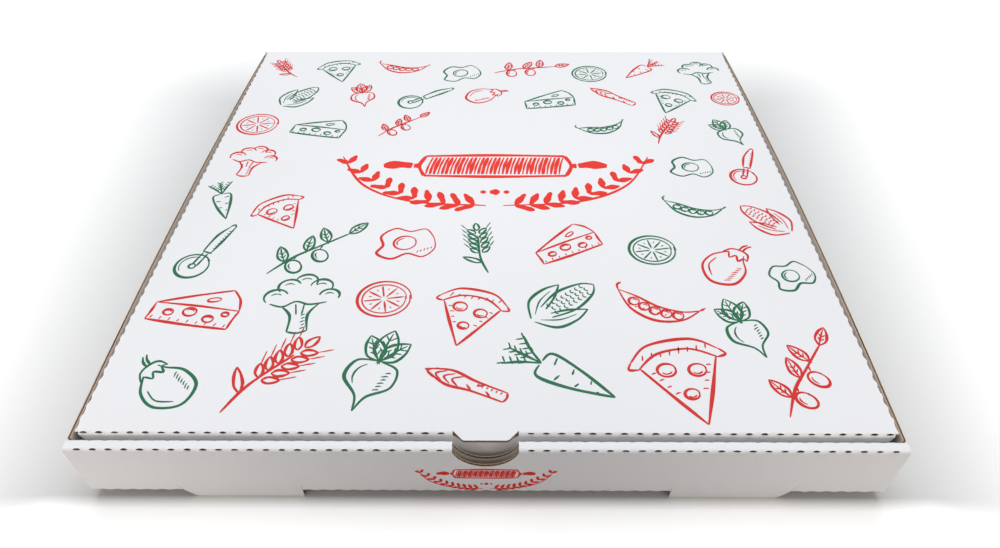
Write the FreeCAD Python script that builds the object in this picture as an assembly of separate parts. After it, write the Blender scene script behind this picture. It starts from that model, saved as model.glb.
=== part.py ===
import FreeCAD, Part
import math
import os

V = FreeCAD.Vector

# Corrugated board
board = 1.5             # thickness, also a fold's outside radius
fold_flats = 3          # flats that a fold's outside breaks into
ply_gap = 0.25          # air between plies that are folded on each other

# Tray, outside sizes; the front is the -Y side
tray_width = 323.0
tray_depth = 323.0
wall_height = 30.0      # underside of the bottom to the top of the front ledge
side_bow = 3.0          # how far a side wall's top edge stands out at mid-length
ear_length = 70.0       # corner ears folded in behind the front and rear walls
ear_taper = 8.0         # how much shorter an ear is at its bottom

# Lips of the front wall, cut out of the bottom panel, and the slots they leave
lip_drop = 3.7          # reach below the underside of the bottom
lip_inner = 75.0        # from the centre line to a lip's inner end
lip_outer = 123.0       # and to its outer end
lip_slant = 3.5         # how far the outer end leans in at the bottom
nick_height = 4.5       # cuts at both ends of a lip, above the underside
nick_width = 0.35
slot_clearance = 0.2    # behind the locking tab
inner_wall_play = 0.3   # between the inner front wall's ends and the side walls

# Locking tabs of the inner front wall, which pass through the slots
tab_play = 1.5          # at each end of a tab
tab_rise = 0.8          # tab's end above the lips' end
tab_chamfer = 2.0

# Thumb notch in the ledge and both front walls
notch_width = 25.5
notch_depth = 11.4

# Lid
lid_rise = 1.0          # lid top above the ledge
lid_play = 0.3          # between the lid's flaps and the side walls' ends
lid_front_play = 2.0    # between the inner front wall and the lid's front flap
flap_lift = 1.0         # flaps' free edges above the bottom panel
flap_start = 1.8        # flaps start this far from the lid's front corners
front_flap_taper = 9.0
side_flap_taper = 14.0
side_flap_rear = 13.0   # side flaps end this far before the rear fold
corner_round = 0.6      # what a crease takes off the lid's flat corners
thumb_tab_base = 25.5
thumb_tab_tip = 17.4
thumb_tab_length = 2.9

# Rear fold, where the lid is hinged
fold_gap = 0.15         # between the two halves of the fold
hinge_standoff = 0.15   # hinge line outside the fold's surface

# Perforated folds
cut_pitch = 6.02
cut_length = 3.0
cut_width = 0.5
notch_to_cut = 17.4     # first cut from the centre line where the notch is
cut_margin = 2.0        # no cut's centre is nearer than this to a fold's end

# Levels and planes worked out from the sizes
half_width = tray_width / 2
half_depth = tray_depth / 2
base_z = lip_drop
floor_z = base_z + board
ledge_z = base_z + wall_height
lid_z = ledge_z + lid_rise
ledge_depth = 3 * board + 2 * ply_gap
inner_wall_y = -half_depth + ledge_depth
slot_rear_y = inner_wall_y + slot_clearance
ear_y = half_depth - board - ply_gap
ear_top = ledge_z - board - ply_gap
wall_end = ear_y - board
inner_half_width = half_width - board - inner_wall_play
lid_half_width = half_width - board - lid_play
lid_front_y = inner_wall_y + lid_front_play
lid_panel_front = lid_front_y + board
flap_bottom = floor_z + flap_lift
fold_y = half_depth - board
fold_z = lid_z - board
flap_end_y = fold_y - side_flap_rear


def box(x0, x1, y0, y1, z0, z1):
    return Part.makeBox(x1 - x0, y1 - y0, z1 - z0, V(x0, y0, z0))


def unit(a, b):
    length = math.hypot(b[0] - a[0], b[1] - a[1])
    return (b[0] - a[0]) / length, (b[1] - a[1]) / length


def other_face(corners):
    """The corners of the sheet's other face, one board to the right of the path."""
    last = len(corners) - 1
    moved = []
    for i, point in enumerate(corners):
        into = unit(corners[max(i - 1, 0)], corners[max(i, 1)])
        out = unit(corners[min(i, last - 1)], corners[min(i + 1, last)])
        share = board / (1 + into[0] * out[0] + into[1] * out[1])
        moved.append((point[0] + share * (into[1] + out[1]),
                      point[1] - share * (into[0] + out[0])))
    return moved


def sheet_points(corners):
    """Section of board folded along outer corners that always turn right."""
    other = other_face(corners)
    outer = [corners[0]]
    for i in range(1, len(corners) - 1):
        into = unit(corners[i - 1], corners[i])
        out = unit(corners[i], corners[i + 1])
        turn = math.acos(into[0] * out[0] + into[1] * out[1])
        start = math.atan2(into[0], -into[1])
        for step in range(fold_flats + 1):
            angle = start - turn * step / fold_flats
            outer.append((other[i][0] + board * math.cos(angle),
                          other[i][1] + board * math.sin(angle)))
    outer.append(corners[-1])
    kept = [p for p, q in zip(outer, outer[1:]) if math.dist(p, q) > 1e-6] + outer[-1:]
    back = [p for p, q in zip(other[::-1], other[::-1][1:]) if math.dist(p, q) > 1e-6]
    return kept + back + other[:1]


def sheet(corners, place, sweep):
    return plate(sheet_points(corners), place, sweep)


def plate(points, place, sweep):
    """A flat piece with a straight-sided outline."""
    corners = [place(*p) for p in points]
    return Part.Face(Part.makePolygon(corners + corners[:1])).extrude(sweep)


def both_sides(shape):
    """The shape and its mirror image across the centre line."""
    return [shape, shape.mirror(V(0, 0, 0), V(1, 0, 0))]


def cut_places(first, reach):
    """Centres of a perforation's cuts, from the middle outwards, both ways."""
    count = int((reach - cut_margin - first) / cut_pitch) + 1
    steps = [first + i * cut_pitch for i in range(count)]
    return [-s for s in reversed(steps)] + steps


def fold_cuts(places, corner_at, outward):
    """Slits through a fold; corner_at(s) is its sharp corner, outward its bisector."""
    outward = V(*outward).normalize()
    depth = outward * -(board * (math.sqrt(2) - 1) + board + ply_gap)
    cuts = []
    for s in places:
        corner = corner_at(s)
        half = (corner_at(s + 1) - corner_at(s - 1)).normalize() * (cut_length / 2)
        side = half.cross(outward).normalize() * (cut_width / 2)
        points = [corner - half - side, corner + half - side,
                  corner + half + side, corner - half + side]
        cuts.append(Part.Face(Part.makePolygon(points + points[:1])).extrude(depth))
    return cuts


def beyond_fold(side):
    """Space on one side of the rear fold's split: 1 is the lid's side, -1 the tray's."""
    shift = side * fold_gap / 2 * math.sqrt(0.5)
    reach = 2 * wall_height
    y = fold_y + shift
    z = fold_z - shift
    points = [(y - reach, z - reach), (y - side * reach, z + side * reach), (y + reach, z + reach)]
    return plate(points, lambda a, b: V(-half_width - 1, a, b), V(tray_width + 2, 0, 0))


# Tray
def bottom_panel():
    return box(-half_width + board, half_width - board,
               -half_depth + board, half_depth - board, base_z, floor_z)


def front_walls():
    """Outer wall, ledge and inner wall, rolled over in one strip."""
    path = [(-half_depth + board, base_z), (-half_depth, base_z), (-half_depth, ledge_z),
            (inner_wall_y, ledge_z), (inner_wall_y, floor_z + ply_gap)]
    strip = sheet(path, lambda y, z: V(-half_width, y, z), V(tray_width, 0, 0))
    for end in both_sides(box(inner_half_width, half_width + 1, -ear_y, inner_wall_y + 1,
                              floor_z, ledge_z - board)):
        strip = strip.cut(end)
    return strip


def rear_wall():
    """Rear wall, with its half of the fold that carries the lid."""
    path = [(half_depth - board, lid_z), (half_depth, lid_z),
            (half_depth, base_z), (half_depth - board, base_z)]
    strip = sheet(path, lambda y, z: V(-half_width, y, z), V(tray_width, 0, 0))
    return strip.cut(beyond_fold(1))


def side_fold():
    """Fold between the bottom panel and the right side wall."""
    path = [(half_width, base_z + board), (half_width, base_z),
            (half_width - board, base_z)]
    return sheet(path, lambda x, z: V(x, -wall_end, z), V(0, 2 * wall_end, 0))


def side_wall():
    """Right side wall: straight along its fold, standing out along its top edge."""
    def rim(z, bow):
        outer = [V(half_width, -wall_end, z), V(half_width + bow, 0, z), V(half_width, wall_end, z)]
        inner = [p - V(board, 0, 0) for p in reversed(outer)]
        runs = []
        for a, b, c in (outer, inner):
            curve = Part.Arc(a, b, c) if bow else Part.LineSegment(a, c)
            runs.append(curve.toShape())
        ends = [Part.LineSegment(outer[2], inner[0]).toShape(),
                Part.LineSegment(inner[2], outer[0]).toShape()]
        return Part.Wire([runs[0], ends[0], runs[1], ends[1]])

    wall = Part.makeLoft([rim(base_z + board, 0), rim(ledge_z, side_bow)], True, True)
    under_ledge = box(half_width - 2 * board, half_width + board, -wall_end - 1,
                      inner_wall_y + ply_gap, ear_top, ledge_z + 1)
    return wall.cut(under_ledge)


def front_right_ear():
    """Ear folded in from the right side wall's front end, shorter at its bottom."""
    path = [(half_width, -wall_end), (half_width, -ear_y), (half_width - ear_length, -ear_y)]
    low = floor_z + ply_gap
    ear = sheet(path, lambda x, y: V(x, y, low), V(0, 0, ear_top - low))
    tip = half_width - ear_length
    slant = plate([(tip - 1, low), (tip + ear_taper, low), (tip, ear_top), (tip - 1, ear_top)],
                  lambda x, z: V(x, -ear_y - 1, z), V(0, board + 2, 0))
    return ear.cut(slant)


def slot():
    """Space of the right lip in the bottom panel and its fold."""
    points = [(lip_inner, -half_depth - 1), (lip_outer, -half_depth - 1), (lip_outer, -half_depth),
              (lip_outer - lip_slant, slot_rear_y), (lip_inner, slot_rear_y)]
    return plate(points, lambda x, y: V(x, y, -1), V(0, 0, base_z + board + 1))


def lip():
    """Right lip, in one plane with the outer front wall."""
    top = base_z + nick_height
    points = [(lip_inner, 0), (lip_outer - lip_slant, 0), (lip_outer, base_z),
              (lip_outer, top), (lip_inner, top)]
    return plate(points, lambda x, z: V(x, -half_depth, z), V(0, board, 0))


def lip_nicks():
    """Thin cuts at both ends of the right lip."""
    top = base_z + nick_height
    lean = lip_slant * nick_height / lip_drop / 2
    through = V(0, board + 2, 0)
    inner = box(lip_inner - nick_width, lip_inner, -half_depth - 1, -half_depth + board + 1,
                base_z - 1, top)
    outer = plate([(lip_outer, base_z), (lip_outer + nick_width, base_z - 1),
                   (lip_outer + nick_width, base_z), (lip_outer + lean + nick_width, top),
                   (lip_outer + lean, top)],
                  lambda x, z: V(x, -half_depth - 1, z), through)
    return Part.Compound([inner, outer])


def locking_tab():
    """Right tab of the inner front wall, down through its slot."""
    left = lip_inner + tab_play
    right = lip_outer - lip_slant - tab_play
    top = floor_z + 3 * board
    points = [(left, top), (left, tab_rise + tab_chamfer), (left + tab_chamfer, tab_rise),
              (right - tab_chamfer, tab_rise), (right, tab_rise + tab_chamfer), (right, top)]
    return plate(points, lambda x, z: V(x, inner_wall_y - board, z), V(0, board, 0))


def thumb_notch():
    radius = (notch_width ** 2 / 4 + notch_depth ** 2) / (2 * notch_depth)
    centre = V(0, -half_depth - 1, ledge_z - notch_depth + radius)
    return Part.makeCylinder(radius, ledge_depth + 2, centre, V(0, 1, 0))


def tray_fold_cuts():
    """Perforation of the ledge's two folds and of the bottom's front and side folds."""
    ledge = cut_places(notch_to_cut, half_width)
    beside_lips = [s for s in cut_places(cut_pitch / 2, half_width)
                   if not lip_inner - cut_length < abs(s) < lip_outer + cut_length]
    sides = cut_places(cut_pitch / 2, wall_end)
    return Part.Compound(
        fold_cuts(ledge, lambda s: V(s, -half_depth, ledge_z), (0, -1, 1))
        + fold_cuts(ledge, lambda s: V(s, inner_wall_y, ledge_z), (0, 1, 1))
        + fold_cuts(beside_lips, lambda s: V(s, -half_depth, base_z), (0, -1, -1))
        + fold_cuts(sides, lambda s: V(half_width, s, base_z), (1, 0, -1))
        + fold_cuts(sides, lambda s: V(-half_width, s, base_z), (-1, 0, -1)))


def make_tray():
    front = front_walls().cut(thumb_notch())
    bottom = bottom_panel()
    for side_slot in both_sides(slot()):
        front = front.cut(side_slot)
        bottom = bottom.cut(side_slot)
    for side_lip in both_sides(lip()):
        front = front.fuse(side_lip)
    for nicks in both_sides(lip_nicks()):
        front = front.cut(nicks)
        bottom = bottom.cut(nicks)
    pieces = [front, rear_wall()]
    for right_piece in (side_fold(), side_wall(), locking_tab()):
        pieces += both_sides(right_piece)
    for ear in both_sides(front_right_ear()):
        pieces += [ear, ear.mirror(V(0, 0, 0), V(0, 1, 0))]
    return bottom.multiFuse(pieces).removeSplitter().cut(tray_fold_cuts())


# Lid
def lid_panel():
    """Top panel and both side flaps in one strip."""
    path = [(-lid_half_width, flap_bottom), (-lid_half_width, lid_z),
            (lid_half_width, lid_z), (lid_half_width, flap_bottom)]
    return sheet(path, lambda x, z: V(x, lid_panel_front, z), V(0, fold_y - lid_panel_front, 0))


def side_flap_ends():
    """What is trimmed off the right side flap and its fold, in front and at the rear."""
    top = lid_z - board
    inside = lid_half_width - board
    outside = lid_half_width + 1
    front = [(lid_panel_front - 1, top), (lid_front_y + flap_start, top),
             (lid_front_y + flap_start + side_flap_taper, flap_bottom - 1),
             (lid_panel_front - 1, flap_bottom - 1)]
    rear = [(fold_y + 1, top), (flap_end_y, top),
            (flap_end_y - side_flap_taper, flap_bottom - 1), (fold_y + 1, flap_bottom - 1)]
    trims = [plate(points, lambda y, z: V(inside, y, z), V(outside - inside, 0, 0))
             for points in (front, rear)]
    trims.append(box(inside, outside, flap_end_y, fold_y + 1, top, lid_z + 1))
    return trims


def rear_corner():
    """Flat strip of the lid beside its rear fold, where the right side flap has ended."""
    return box(lid_half_width - board, lid_half_width - corner_round,
               flap_end_y, fold_y, lid_z - board, lid_z)


def front_corner():
    """Flat right front corner of the lid, between the two flaps' folds."""
    reach = lid_half_width - flap_start
    return box(reach, lid_half_width - corner_round,
               lid_front_y + corner_round, lid_panel_front, lid_z - board, lid_z)


def lid_front_flap():
    """Front tuck flap with tapered ends and the cut-out that the thumb tab leaves."""
    reach = lid_half_width - flap_start
    path = [(lid_front_y, flap_bottom), (lid_front_y, lid_z), (lid_panel_front, lid_z)]
    flap = sheet(path, lambda y, z: V(-reach, y, z), V(2 * reach, 0, 0))
    below = flap_bottom - 1
    through = V(0, 2 * board, 0)
    wedge = plate([(reach + 1, fold_z), (reach, fold_z), (reach - front_flap_taper, below),
                   (reach + 1, below)], lambda x, z: V(x, lid_front_y - 1, z), through)
    for end in both_sides(wedge):
        flap = flap.cut(end)
    low = lid_z - thumb_tab_length - board
    base = thumb_tab_base / 2
    tip = thumb_tab_tip / 2
    cut_out = plate([(-base, lid_z + 1), (-base, lid_z - board), (-tip, low), (tip, low),
                     (base, lid_z - board), (base, lid_z + 1)],
                    lambda x, z: V(x, lid_front_y - 1, z), V(0, board + 1, 0))
    return flap.cut(cut_out)


def thumb_tab():
    base = thumb_tab_base / 2
    tip = thumb_tab_tip / 2
    end = lid_front_y - thumb_tab_length
    points = [(-base, lid_panel_front), (-base, lid_front_y), (-tip, end),
              (tip, end), (base, lid_front_y), (base, lid_panel_front)]
    return plate(points, lambda x, y: V(x, y, lid_z - board), V(0, 0, board))


def lid_rear_fold():
    reach = lid_half_width - corner_round
    path = [(fold_y, lid_z), (half_depth, lid_z), (half_depth, fold_z)]
    fold = sheet(path, lambda y, z: V(-reach, y, z), V(2 * reach, 0, 0))
    return fold.cut(beyond_fold(-1))


def lid_fold_cuts():
    """Perforation of the lid's front fold and side folds."""
    front = cut_places(notch_to_cut, lid_half_width - flap_start)
    sides = [s for s in cut_places(cut_pitch / 2, fold_y)
             if lid_front_y + flap_start + cut_length < s < flap_end_y - cut_length]
    return Part.Compound(
        fold_cuts(front, lambda s: V(s, lid_front_y, lid_z), (0, -1, 1))
        + fold_cuts(sides, lambda s: V(lid_half_width, s, lid_z), (1, 0, 1))
        + fold_cuts(sides, lambda s: V(-lid_half_width, s, lid_z), (-1, 0, 1)))


def make_lid():
    panel = lid_panel()
    for trim in side_flap_ends():
        for side_trim in both_sides(trim):
            panel = panel.cut(side_trim)
    pieces = [lid_front_flap(), thumb_tab(), lid_rear_fold()]
    pieces += both_sides(rear_corner()) + both_sides(front_corner())
    return panel.multiFuse(pieces).removeSplitter().cut(lid_fold_cuts())


def export(name, shape):
    solids = shape.Solids
    print(name, "solids", len(solids), "valid", shape.isValid(), "volume", round(shape.Volume))
    os.makedirs("parts", exist_ok=True)
    whole = solids[0] if len(solids) == 1 else Part.Compound(solids)
    whole.exportStep("parts/" + name + ".step")


hinge_out = (board + hinge_standoff) * math.sqrt(0.5)
print("hinge line y", round(fold_y + hinge_out, 3), "z", round(fold_z + hinge_out, 3))
export("tray", make_tray())
export("lid", make_lid())
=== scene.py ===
import itertools
import math
import random
from functools import partial

import bpy
from mathutils import Matrix, Vector
from mathutils.geometry import delaunay_2d_cdt


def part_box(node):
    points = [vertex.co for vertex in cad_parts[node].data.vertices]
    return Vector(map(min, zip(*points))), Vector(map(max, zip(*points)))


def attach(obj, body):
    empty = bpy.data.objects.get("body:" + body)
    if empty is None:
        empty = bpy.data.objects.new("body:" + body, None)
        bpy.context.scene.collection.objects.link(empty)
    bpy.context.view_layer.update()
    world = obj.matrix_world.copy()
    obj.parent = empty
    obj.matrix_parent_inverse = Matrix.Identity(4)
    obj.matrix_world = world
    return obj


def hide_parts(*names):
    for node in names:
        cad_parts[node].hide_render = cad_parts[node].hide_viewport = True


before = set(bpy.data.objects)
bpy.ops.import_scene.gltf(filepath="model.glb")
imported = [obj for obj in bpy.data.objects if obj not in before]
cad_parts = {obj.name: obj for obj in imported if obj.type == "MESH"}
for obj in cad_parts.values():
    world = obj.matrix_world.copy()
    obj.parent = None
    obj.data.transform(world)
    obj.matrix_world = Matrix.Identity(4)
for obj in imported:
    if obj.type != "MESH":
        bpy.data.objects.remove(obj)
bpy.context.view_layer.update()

MM = 0.001


def node_box(name):
    """Lowest and highest corner of a node, in millimetres."""
    return [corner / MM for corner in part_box(name)]


tray_high = node_box("tray")[1]
lid_low, lid_high = node_box("lid")

# Corrugated board, in millimetres like every size up to the mesh code
board = 1.5
ply_gap = 0.25
liner = 0.38            # thickness of each flat liner
medium = 0.16           # thickness of the wavy sheet between them
flute_pitch = 2.4
edge_recess = 1.1       # how deep a raw edge is open between its liners
medium_start = 0.1      # the wavy sheet's edge lies this far back
hinge_recess = 0.4      # share of that depth where the rear fold is parted

# Perforated folds
cut_pitch = 6.02
cut_length = 3.1
cut_margin = 2.0
notch_to_cut = 17.4
cut_reach = 0.48        # how far a cut's edge stands towards the fold's corner, as a share
side_cut_reach = 0.8    # the same on the lid's side folds
cut_inner = 0.12        # half of a cut's opening at the inner liner
cut_wander = 0.12       # how far a cut strays along the fold
cut_stretch = (0.92, 1.08)
cut_strength = (0.75, 1.0)
bridge_dent = 0.16      # how far the paper between two cuts is pressed in, as a share
bridge_strength = (0.6, 1.2)
cut_steps = 4           # points on each half of a cut

# Sizes of the tray
side_bow = 3.0
half_width = tray_high.x - side_bow
half_depth = tray_high.y
lid_rise = 1.0
lid_z = lid_high.z
ledge_z = lid_z - lid_rise
base_z = 3.7
floor_z = base_z + board
inner_wall_y = -half_depth + 3 * board + 2 * ply_gap
ear_y = half_depth - board - ply_gap
ear_top = ledge_z - board - ply_gap
ear_length = 70.0
ear_taper = 8.0
wall_end = ear_y - board
inner_half_width = half_width - board - 0.3     # less the inner wall's play
lip_inner = 75.0
lip_outer = 123.0
lip_slant = 3.5
nick_height = 4.5
nick_width = 0.14
nick_lean = lip_slant * nick_height / base_z / 2
lip_cut_margin = 2.0
beside_lip = lip_outer + nick_lean * board / nick_height + nick_width
slot_clearance = 0.2
slot_rear_y = inner_wall_y + slot_clearance
tab_play = 1.5
tab_rise = 0.8
tab_chamfer = 2.0
notch_half = 12.75
notch_depth = 11.4
notch_steps = 12        # points on each half of the notch's arc

# Sizes of the lid
lid_half_width = lid_high.x
lid_bow = 1.2
thumb_tab_length = 2.9
thumb_tab_tip = 8.7
lid_front_y = lid_low.y + thumb_tab_length
flap_bottom = lid_low.z
flap_start = 1.8
front_reach = lid_half_width - flap_start
front_flap_taper = 9.0
side_flap_taper = 14.0
side_flap_rear = 13.0
fold_y = half_depth - board
flap_end_y = fold_y - side_flap_rear
corner_round = 0.6
fold_gap = 0.02         # between the two halves of the rear fold
fold_drop = fold_gap / 2 * math.sqrt(0.5)
UP, DOWN, FORWARD, BACK = (0, 0, 1), (0, 0, -1), (0, -1, 0), (0, 1, 0)


def set_inputs(node, **values):
    for name, value in values.items():
        node.inputs[name.replace("_", " ")].default_value = value


# Materials
def paper(name, colour, shade, roughness=0.6, fibre=0.00004, washboard=0.0, blotch=9.0):
    """Paper whose colour wanders between two tones, with fibres and the flutes showing through."""
    material = bpy.data.materials.new(name)
    material.use_nodes = True
    nodes = material.node_tree.nodes
    links = material.node_tree.links
    shader = nodes["Principled BSDF"]
    set_inputs(shader, Roughness=roughness, Specular_IOR_Level=0.25)
    place = nodes.new("ShaderNodeTexCoord")
    clouds = nodes.new("ShaderNodeTexNoise")
    set_inputs(clouds, Scale=blotch, Detail=6.0, Roughness=0.65)
    tone = nodes.new("ShaderNodeMix")
    tone.data_type = "RGBA"
    set_inputs(tone, A=(*colour, 1), B=(*shade, 1))
    fibres = nodes.new("ShaderNodeTexNoise")
    set_inputs(fibres, Scale=1400.0, Detail=3.0)
    bump = nodes.new("ShaderNodeBump")
    set_inputs(bump, Strength=0.5, Distance=fibre)
    links.new(place.outputs["Object"], clouds.inputs["Vector"])
    links.new(place.outputs["Object"], fibres.inputs["Vector"])
    links.new(clouds.outputs["Fac"], tone.inputs["Factor"])
    links.new(tone.outputs["Result"], shader.inputs["Base Color"])
    links.new(fibres.outputs["Fac"], bump.inputs["Height"])
    last = bump
    if washboard:
        waves = nodes.new("ShaderNodeTexWave")
        waves.bands_direction = "X"
        set_inputs(waves, Scale=math.pi / 10 / (flute_pitch * MM), Distortion=0.6, Detail=1.0)
        ribs = nodes.new("ShaderNodeBump")
        set_inputs(ribs, Strength=1.0, Distance=washboard)
        links.new(place.outputs["Object"], waves.inputs["Vector"])
        links.new(waves.outputs["Fac"], ribs.inputs["Height"])
        links.new(bump.outputs["Normal"], ribs.inputs["Normal"])
        last = ribs
    links.new(last.outputs["Normal"], shader.inputs["Normal"])
    return material


def ink(name, colour, thin):
    """Flat printing ink that lies a little uneven on the paper."""
    material = paper(name, colour, thin, roughness=0.5, fibre=0.00003, blotch=260.0)
    set_inputs(material.node_tree.nodes["Principled BSDF"], Specular_IOR_Level=0.2)
    return material


white = paper("white_liner", (0.87, 0.875, 0.88), (0.835, 0.835, 0.84), 0.65,
              washboard=0.000012)
kraft = paper("kraft_liner", (0.74, 0.685, 0.63), (0.69, 0.63, 0.575), 0.75,
              fibre=0.00008, washboard=0.00003, blotch=30.0)
white_edge = paper("white_liner_edge", (0.80, 0.74, 0.63), (0.66, 0.56, 0.45), 0.8, blotch=500.0)
kraft_edge = paper("kraft_liner_edge", (0.58, 0.44, 0.33), (0.42, 0.30, 0.21), 0.8, blotch=500.0)
# Brown paper of the open raw edges, darkened further as painted shade inside the recess between the
# liners
shaded_recess_paper = paper("open_edge_painted_shade", (0.30, 0.20, 0.135), (0.20, 0.13, 0.085), 0.85, blotch=300.0)
flute_paper = paper("fluting", (0.46, 0.33, 0.23), (0.34, 0.23, 0.16), 0.85, blotch=300.0)
# Near-black paint on the cut walls that face down: painted shade inside the perforation's cuts
painted_shade_slit_paper = paper("slit_painted_shade", (0.04, 0.025, 0.02), (0.025, 0.015, 0.012), 0.85, blotch=300.0)
red_ink = ink("red_ink", (0.60, 0.016, 0.012), (0.66, 0.032, 0.024))
title_ink = ink("bright_red_ink", (0.80, 0.022, 0.012), (0.78, 0.04, 0.022))
green_ink = ink("green_ink", (0.006, 0.125, 0.05), (0.014, 0.155, 0.072))
board_materials = [white, kraft, white_edge, kraft_edge, shaded_recess_paper, painted_shade_slit_paper]
OUTER, INNER, OUTER_EDGE, INNER_EDGE, SHADED_RECESS, SHADED_SLIT = range(6)


def mesh_piece(name, points, faces, materials, kinds=None, smooth=None):
    """A mesh object from points in millimetres; kinds gives each face's material."""
    mesh = bpy.data.meshes.new(name)
    mesh.from_pydata([Vector(p) * MM for p in points], [], faces)
    for material in materials:
        mesh.materials.append(material)
    if kinds:
        mesh.polygons.foreach_set("material_index", kinds)
    piece = bpy.data.objects.new(name, mesh)
    bpy.context.scene.collection.objects.link(piece)
    if smooth:
        mesh.polygons.foreach_set("use_smooth", [True] * len(faces))
        mesh.set_sharp_from_angle(angle=math.radians(smooth))
        weights = piece.modifiers.new("weighted", "WEIGHTED_NORMAL")
        weights.keep_sharp = True
        weights.weight = 100
    mesh.update()
    return piece


# Folded board
class Places:
    """Points in which one that lies almost at another's place is the same point."""
    grain = 0.05
    same = 0.01
    around = list(itertools.product((-1, 0, 1), repeat=3))

    def __init__(self):
        self.cells = {}
        self.points = []

    def index(self, place):
        place = Vector(place)
        cell = [math.floor(c / self.grain) for c in place]
        for step in self.around:
            for i in self.cells.get(tuple(c + s for c, s in zip(cell, step)), ()):
                if (self.points[i] - place).length < self.same:
                    return i
        self.cells.setdefault(tuple(cell), []).append(len(self.points))
        self.points.append(place)
        return len(self.points) - 1


class Sheet:
    """Outer faces of a folded board, each point paired with one on the inner face."""

    def __init__(self):
        self.places = Places()
        self.outer = self.places.points
        self.inner = []
        self.across = []
        self.cut = set()
        self.parted = set()
        self.faces = []

    def point(self, outer, inner, across, in_cut=False):
        index = self.places.index(outer)
        if index == len(self.inner):
            self.inner.append(Vector(inner))
            self.across.append(across(Vector(outer)))
        if in_cut:
            self.cut.add(index)
        return index

    def face(self, corners):
        """Adds a face with its front on the outer side."""
        kept = [c for i, c in enumerate(corners) if c != corners[i - 1]]
        if len(set(kept)) < 3:
            return
        a, b, c = (self.outer[i] for i in kept[:3])
        turn = (b - a).cross(c - a)
        if len(kept) == 4:
            turn += (c - a).cross(self.outer[kept[3]] - a)
        away = sum((self.outer[i] - self.inner[i] for i in kept), Vector())
        self.faces.append(kept if turn.dot(away) > 0 else kept[::-1])


def flutes_along_y(point):
    return point.x


def fold_lines(start, end, centres, seed, stops=()):
    """Places along a fold, each with how far it is lifted by a cut and whether it is in one."""
    rng = random.Random(seed)
    lines = {round(p, 4): (0.0, False) for p in (start, end, *stops)}
    for centre in centres:
        middle = centre + rng.uniform(-cut_wander, cut_wander)
        half = cut_length / 2 * rng.uniform(*cut_stretch)
        strength = rng.uniform(*cut_strength)
        for step in range(-cut_steps, cut_steps + 1):
            share = step / cut_steps
            lines[round(middle + half * share, 4)] = (strength * (1 - share ** 2), True)
        for side in (-1, 1):
            place = middle + side * cut_pitch / 2
            if start + 0.3 < place < end - 0.3 and all(abs(place - q) > 0.8 for q in lines):
                lines[round(place, 4)] = (-rng.uniform(*bridge_strength), False)
    return [(place, *lines[place]) for place in sorted(lines)]


def cut_places(first, reach):
    """Centres of a perforation's cuts, both ways from the middle."""
    count = int((reach - cut_margin - first) / cut_pitch) + 1
    steps = [first + i * cut_pitch for i in range(count)]
    return [-s for s in reversed(steps)] + steps


def fold(sheet, lines, corner_at, first, second, across=flutes_along_y, last=1, reach=cut_reach):
    """A right-angled fold; corner_at(place) is its sharp corner, first and second its normals."""
    first = Vector(first)
    second = Vector(second)
    turns = [0, math.pi / 8, math.pi / 4]
    columns = []
    for place, lift, in_cut in lines:
        pivot = Vector(corner_at(place)) - (first + second) * board
        rise = max(lift, 0)
        column = []
        sides = [(first, second, turns), (second, first, turns[::-1])]
        for own, other, steps in sides[:1 + last]:
            inner = pivot - other * (cut_inner * rise)
            for turn in steps:
                arc = pivot + (own * math.cos(turn) + other * math.sin(turn)) * board
                straight = pivot + (own + other * min(math.tan(turn), reach)) * board
                dent = (own + other) * (min(lift, 0) * bridge_dent * math.sin(2 * turn))
                outer = arc.lerp(straight, rise) + dent
                column.append(sheet.point(outer, inner, across, in_cut and turn == turns[-1]))
        if not last:
            sheet.parted.add(column[-1])
        columns.append(column)
    split = len(turns) - 1
    for left, right in zip(columns, columns[1:]):
        for row in range(len(left) - 1):
            if row != split:
                sheet.face([left[row], left[row + 1], right[row + 1], right[row]])


def upright(y, inward):
    """Places on a panel parallel to the front wall; inward is the way to its inner face."""
    return lambda x, z: ((x, y, z), (x, y + inward * board, z))


def level(z, inward):
    """Places on a level panel; inward is the way to its inner face."""
    return lambda x, y: ((x, y, z), (x, y, z + inward * board))


def panel(sheet, outline, place, across=flutes_along_y):
    """A flat stretch of board inside an outline; place gives a point's outer and inner side."""
    outline = [p for i, p in enumerate(outline) if math.dist(p, outline[i - 1]) > 1e-4]
    area = sum(a[0] * b[1] - b[0] * a[1] for a, b in zip(outline, outline[1:] + outline[:1]))
    if area < 0:
        outline = outline[::-1]
    made = delaunay_2d_cdt([Vector(p) for p in outline], [], [list(range(len(outline)))], 1, 1e-5)
    ids = [sheet.point(*place(*outline[sources[0]]), across) for sources in made[3]]
    for corners in made[2]:
        sheet.face([ids[i] for i in corners])


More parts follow.
